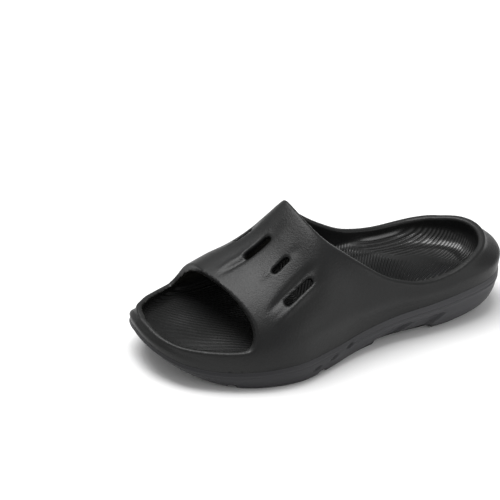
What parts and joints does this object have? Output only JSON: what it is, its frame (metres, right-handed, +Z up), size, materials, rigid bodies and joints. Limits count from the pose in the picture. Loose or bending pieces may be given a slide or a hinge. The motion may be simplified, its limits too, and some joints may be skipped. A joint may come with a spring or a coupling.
{
  "type": "sport slide sandal",
  "caption": "Moulded slide sandal for a left foot: one wide slotted strap, open toe and low open heel on a cupped ribbed footbed and a thick rockered sole.",
  "frame": {"origin": "on the floor under the middle of the shoe's length, on the flat underside of the sole between heel and ball", "axes": "+X along the shoe to the toe, +Y to the outer side of the left foot, +Z up from the floor"},
  "size_m": [0.2989, 0.1227, 0.1024],
  "materials": {
    "upper_foam": "black moulded foam, satin with a fine grain",
    "sole_foam": "charcoal moulded foam, matte"
  },
  "bodies": {
    "root": {"upper": "upper_foam", "sole": "sole_foam"}
  },
  "joints": []
}
